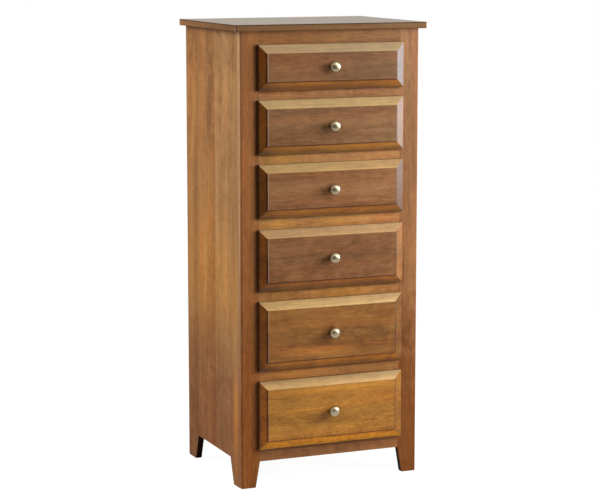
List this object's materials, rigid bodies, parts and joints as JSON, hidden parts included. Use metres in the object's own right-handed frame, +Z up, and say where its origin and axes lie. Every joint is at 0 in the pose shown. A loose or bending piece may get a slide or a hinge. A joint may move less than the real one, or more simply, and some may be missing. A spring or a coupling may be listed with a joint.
{
  "type": "tall narrow chest of drawers",
  "caption": "Tall narrow chest of drawers in brown lacquered hardwood, with raised bevelled faces, round metal knobs, tapered feet and full-extension slides.",
  "frame": {"origin": "on the floor, under the middle of the chest's overall box, knobs and top included", "axes": "+Z up; +Y towards the back, so the drawers open towards -Y; +X to the right of someone facing the drawers"},
  "size_m": [0.61, 0.5114, 1.372],
  "materials": {
    "face_wood": "satin lacquer over a warm brown stain",
    "frame_wood": "satin lacquer over a warm brown stain",
    "side_wood": "satin lacquer over a warm brown stain",
    "top_wood": "satin lacquer over a warm brown stain",
    "inner_wood": "plain planed wood",
    "box_wood": "clear lacquered maple",
    "plywood": "clear lacquered plywood",
    "slide_steel": "zinc plated",
    "screw_steel": "yellow zinc plated",
    "knob_metal": "satin, pale champagne brass"
  },
  "bodies": {
    "case": {"top": "top_wood", "left_side": "side_wood", "right_side": "side_wood", "left_stile": "frame_wood", "right_stile": "frame_wood", "top_rail": "frame_wood", "rail_1": "frame_wood", "rail_2": "frame_wood", "rail_3": "frame_wood", "rail_4": "frame_wood", "rail_5": "frame_wood", "bottom_rail": "frame_wood", "back_panel": "plywood", "back_rails": "inner_wood", "slide_cleats": "inner_wood", "cabinet_slides": "slide_steel", "corner_blocks": "inner_wood", "top_screws": "screw_steel"},
    "drawer_1": {"drawer_1_face": "face_wood", "drawer_1_sides": "box_wood", "drawer_1_ends": "box_wood", "drawer_1_bottom": "plywood", "drawer_1_runners": "slide_steel", "drawer_1_knob": "knob_metal"},
    "slides_1": {"middle_slides_1": "slide_steel"},
    "drawer_2": {"drawer_2_face": "face_wood", "drawer_2_sides": "box_wood", "drawer_2_ends": "box_wood", "drawer_2_bottom": "plywood", "drawer_2_runners": "slide_steel", "drawer_2_knob": "knob_metal"},
    "slides_2": {"middle_slides_2": "slide_steel"},
    "drawer_3": {"drawer_3_face": "face_wood", "drawer_3_sides": "box_wood", "drawer_3_ends": "box_wood", "drawer_3_bottom": "plywood", "drawer_3_runners": "slide_steel", "drawer_3_knob": "knob_metal"},
    "slides_3": {"middle_slides_3": "slide_steel"},
    "drawer_4": {"drawer_4_face": "face_wood", "drawer_4_sides": "box_wood", "drawer_4_ends": "box_wood", "drawer_4_bottom": "plywood", "drawer_4_runners": "slide_steel", "drawer_4_knob": "knob_metal"},
    "slides_4": {"middle_slides_4": "slide_steel"},
    "drawer_5": {"drawer_5_face": "face_wood", "drawer_5_sides": "box_wood", "drawer_5_ends": "box_wood", "drawer_5_bottom": "plywood", "drawer_5_runners": "slide_steel", "drawer_5_knob": "knob_metal"},
    "slides_5": {"middle_slides_5": "slide_steel"},
    "drawer_6": {"drawer_6_face": "face_wood", "drawer_6_sides": "box_wood", "drawer_6_ends": "box_wood", "drawer_6_bottom": "plywood", "drawer_6_runners": "slide_steel", "drawer_6_knob": "knob_metal"},
    "slides_6": {"middle_slides_6": "slide_steel"}
  },
  "joints": [
    {"name": "drawer_1_slide", "type": "slide", "parent": "case", "child": "drawer_1", "axis": [0, -1, 0], "range_m": [0, 0.38]},
    {"name": "middle_slides_1_run", "type": "slide", "parent": "case", "child": "slides_1", "axis": [0, -1, 0], "range_m": [0, 0.19]},
    {"name": "drawer_2_slide", "type": "slide", "parent": "case", "child": "drawer_2", "axis": [0, -1, 0], "range_m": [0, 0.38]},
    {"name": "middle_slides_2_run", "type": "slide", "parent": "case", "child": "slides_2", "axis": [0, -1, 0], "range_m": [0, 0.19]},
    {"name": "drawer_3_slide", "type": "slide", "parent": "case", "child": "drawer_3", "axis": [0, -1, 0], "range_m": [0, 0.38]},
    {"name": "middle_slides_3_run", "type": "slide", "parent": "case", "child": "slides_3", "axis": [0, -1, 0], "range_m": [0, 0.19]},
    {"name": "drawer_4_slide", "type": "slide", "parent": "case", "child": "drawer_4", "axis": [0, -1, 0], "range_m": [0, 0.38]},
    {"name": "middle_slides_4_run", "type": "slide", "parent": "case", "child": "slides_4", "axis": [0, -1, 0], "range_m": [0, 0.19]},
    {"name": "drawer_5_slide", "type": "slide", "parent": "case", "child": "drawer_5", "axis": [0, -1, 0], "range_m": [0, 0.38]},
    {"name": "middle_slides_5_run", "type": "slide", "parent": "case", "child": "slides_5", "axis": [0, -1, 0], "range_m": [0, 0.19]},
    {"name": "drawer_6_slide", "type": "slide", "parent": "case", "child": "drawer_6", "axis": [0, -1, 0], "range_m": [0, 0.38]},
    {"name": "middle_slides_6_run", "type": "slide", "parent": "case", "child": "slides_6", "axis": [0, -1, 0], "range_m": [0, 0.19]}
  ],
  "couplings": [
    {"joint": "middle_slides_1_run", "follows": "drawer_1_slide", "ratio": 0.5},
    {"joint": "middle_slides_2_run", "follows": "drawer_2_slide", "ratio": 0.5},
    {"joint": "middle_slides_3_run", "follows": "drawer_3_slide", "ratio": 0.5},
    {"joint": "middle_slides_4_run", "follows": "drawer_4_slide", "ratio": 0.5},
    {"joint": "middle_slides_5_run", "follows": "drawer_5_slide", "ratio": 0.5},
    {"joint": "middle_slides_6_run", "follows": "drawer_6_slide", "ratio": 0.5}
  ]
}
